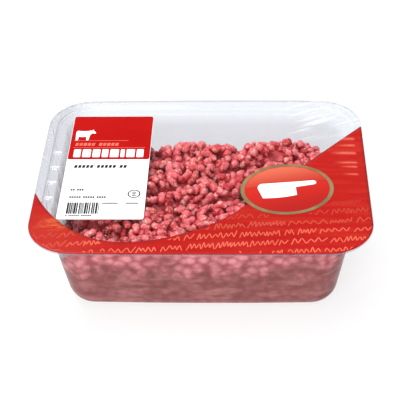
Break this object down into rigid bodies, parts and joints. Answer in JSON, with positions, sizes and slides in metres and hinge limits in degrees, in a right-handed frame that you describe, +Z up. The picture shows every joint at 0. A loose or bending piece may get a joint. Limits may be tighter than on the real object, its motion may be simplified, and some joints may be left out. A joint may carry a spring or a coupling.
{
  "type": "meat tray pack",
  "caption": "Clear thermoformed tray of minced meat, sealed with a clear lid film that carries a red print field, an oval badge and a price label.",
  "frame": {"origin": "middle of the tray's flat base, on the surface that the pack stands on", "axes": "+X along the long side, to the right as the label is read; +Z up, towards the lid film; -Y is the front, where the print field lies"},
  "size_m": [0.19, 0.144, 0.0588],
  "materials": {
    "clear_plastic": "clear thermoformed sheet, glossy, a little cloudy where it is stretched",
    "clear_film": "thin clear lid film, glossy, drawn tight",
    "meat": "raw minced beef, moist, rose red with pale flecks of fat",
    "print_red": "red printing ink under a glossy film",
    "print_gold": "olive gold printing ink",
    "print_light": "light orange red printing ink",
    "print_white": "white printing ink",
    "label_paper": "smooth white label stock",
    "label_red": "deep red on label stock",
    "label_grey": "dark grey thermal print"
  },
  "bodies": {
    "root": {"tray": "clear_plastic", "mince": "meat", "lid_film": "clear_film", "red_field": "print_red", "badge_rim": "print_gold", "badge_face": "print_red", "badge_glow": "print_light", "badge_cleaver": "print_white", "label": "label_paper", "label_header": "label_red", "label_cow": "label_paper", "label_title_1": "label_paper", "label_title_2": "label_paper", "label_title_3": "label_paper", "label_title_4": "label_paper", "label_title_5": "label_paper", "label_title_6": "label_paper", "label_title_7": "label_paper", "label_title_8": "label_paper", "label_name_bar": "label_grey"}
  },
  "joints": []
}
